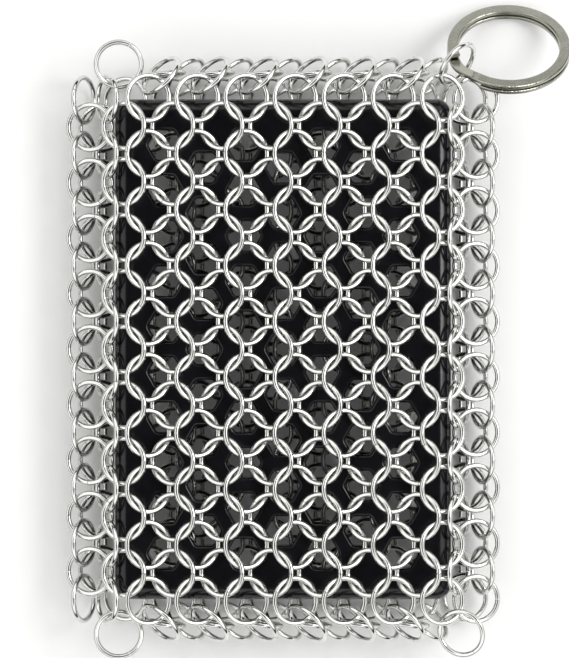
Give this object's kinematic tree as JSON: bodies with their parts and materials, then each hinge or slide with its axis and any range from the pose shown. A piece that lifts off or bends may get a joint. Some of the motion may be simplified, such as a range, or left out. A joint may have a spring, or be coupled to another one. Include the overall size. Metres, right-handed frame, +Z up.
{
  "type": "pot scrubber",
  "caption": "Flat pouch of linked steel rings closed round a holed rubber core, for scouring pots, with a split ring at one corner to hang it by.",
  "frame": {"origin": "on the table under the middle of the pouch, which lies on its back sheet of rings", "axes": "+X across the pouch, +Y along it towards the split ring's end, +Z up out of the front sheet"},
  "size_m": [0.1025, 0.133, 0.02],
  "materials": {
    "core_rubber": "black moulded rubber with a soft gloss",
    "ring_steel": "polished stainless steel wire",
    "split_ring_steel": "polished flat steel band"
  },
  "bodies": {
    "pouch": {"back_mail_strip_1": "ring_steel", "back_mail_strip_2": "ring_steel", "back_mail_strip_3": "ring_steel", "back_mail_strip_4": "ring_steel", "back_mail_strip_5": "ring_steel", "back_mail_strip_6": "ring_steel", "back_mail_strip_7": "ring_steel", "bottom_back_links": "ring_steel", "bottom_closing_rings": "ring_steel", "bottom_front_links": "ring_steel", "front_mail_strip_1": "ring_steel", "front_mail_strip_2": "ring_steel", "front_mail_strip_3": "ring_steel", "front_mail_strip_4": "ring_steel", "front_mail_strip_5": "ring_steel", "front_mail_strip_6": "ring_steel", "front_mail_strip_7": "ring_steel", "left_side_lower_column": "ring_steel", "left_side_middle_column": "ring_steel", "left_side_upper_column": "ring_steel", "right_side_lower_column": "ring_steel", "right_side_middle_column": "ring_steel", "right_side_upper_column": "ring_steel", "rubber_core": "core_rubber", "top_back_links": "ring_steel", "top_closing_rings": "ring_steel", "top_front_links": "ring_steel"},
    "corner_link": {"corner_link": "ring_steel"},
    "split_ring": {"split_ring": "split_ring_steel"},
    "top_left_loop": {"top_left_loop": "ring_steel"},
    "bottom_left_loop": {"bottom_left_loop": "ring_steel"},
    "bottom_right_loop": {"bottom_right_loop": "ring_steel"}
  },
  "joints": [
    {"name": "corner_link_swing", "type": "hinge", "parent": "pouch", "child": "corner_link", "pos_m": [0.0338, 0.05495, 0.01419], "axis": [-0.8446, 0.5328, -0.0521], "range_deg": [-70, 0]},
    {"name": "split_ring_turn", "type": "hinge", "parent": "corner_link", "child": "split_ring", "pos_m": [0.04582, 0.0609, 0.00954], "axis": [0, 0.7018, 0.7124], "continuous": true},
    {"name": "top_left_loop_swing", "type": "hinge", "parent": "pouch", "child": "top_left_loop", "pos_m": [-0.03477, 0.05491, 0.01332], "axis": [-0.4131, 0.4147, -0.8108], "range_deg": [-70, 10]},
    {"name": "bottom_left_loop_swing", "type": "hinge", "parent": "pouch", "child": "bottom_left_loop", "pos_m": [-0.03477, -0.05491, 0.01332], "axis": [0.4131, 0.4147, 0.8108], "range_deg": [-70, 10]},
    {"name": "bottom_right_loop_swing", "type": "hinge", "parent": "pouch", "child": "bottom_right_loop", "pos_m": [0.03417, -0.05475, 0.01403], "axis": [0.799, 0.4848, -0.3557], "range_deg": [-60, 40]}
  ]
}
